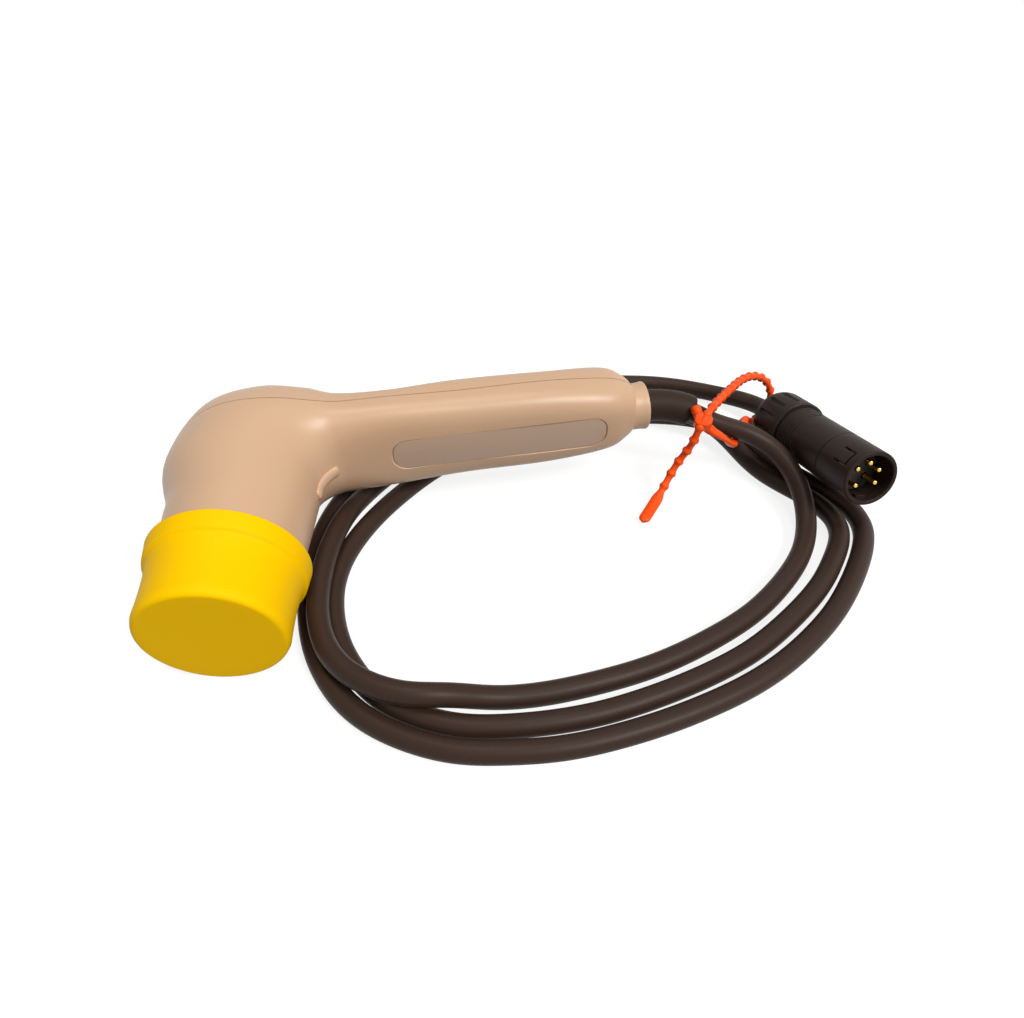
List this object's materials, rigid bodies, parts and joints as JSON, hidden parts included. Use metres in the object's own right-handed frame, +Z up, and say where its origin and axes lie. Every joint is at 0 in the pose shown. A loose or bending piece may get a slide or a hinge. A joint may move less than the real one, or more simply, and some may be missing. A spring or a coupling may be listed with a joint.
{
  "type": "ultrasound therapy head",
  "caption": "Hand-held ultrasound therapy head with an angled handle, push-on face cap, coiled cable held by a beaded tie, and a round latching plug.",
  "frame": {"origin": "on the table under the middle of the head with its cap, cable left out", "axes": "+Z up from the table the head lies on, +X along the head from the cap and elbow to the handle's cable end, +Y away from the treatment face, which looks along -Y"},
  "size_m": [0.2353, 0.1804, 0.0515],
  "materials": {
    "housing_beige": "fine satin moulding",
    "cap_yellow": "satin",
    "label_grey": "satin",
    "applicator_aluminium": "fine turned",
    "seal_rubber": "matt",
    "silvered_ceramic": "silvered",
    "insulator_white": "matt",
    "spring_steel": "drawn wire",
    "board_green": "solder mask",
    "coil_copper": "wound wire",
    "capacitor_blue": "dipped",
    "screw_steel": "plated",
    "lead_red": "satin",
    "lead_black": "satin",
    "clamp_black": "matt",
    "boot_rubber": "matt",
    "cable_rubber": "soft sheen",
    "plug_black": "fine grain",
    "gland_rubber": "matt",
    "gold_plate": "gold plated",
    "tie_orange": "satin"
  },
  "bodies": {
    "root": {"front_housing": "housing_beige", "back_cover": "housing_beige", "label_plate": "label_grey", "protective_cap": "cap_yellow", "applicator": "applicator_aluminium", "applicator_seal": "seal_rubber", "piezo_crystal": "silvered_ceramic", "crystal_holder": "insulator_white", "contact_carrier": "insulator_white", "contact_spring": "spring_steel", "matching_board": "board_green", "matching_coil": "coil_copper", "capacitor": "capacitor_blue", "board_screw_1": "screw_steel", "board_screw_2": "screw_steel", "clamp_screw_1": "screw_steel", "clamp_screw_2": "screw_steel", "signal_lead": "lead_red", "ground_lead": "lead_black", "signal_core": "lead_red", "ground_core": "lead_black", "cable_clamp": "clamp_black", "strain_relief_boot": "boot_rubber", "cable": "cable_rubber", "clamp_nut": "plug_black", "plug_body": "plug_black", "plug_sleeve": "plug_black", "pin_insert": "plug_black", "cable_gland": "gland_rubber", "cable_tie": "tie_orange", "contact_pin_1": "gold_plate", "contact_pin_2": "gold_plate", "contact_pin_3": "gold_plate", "contact_pin_4": "gold_plate", "contact_pin_5": "gold_plate"}
  },
  "joints": []
}
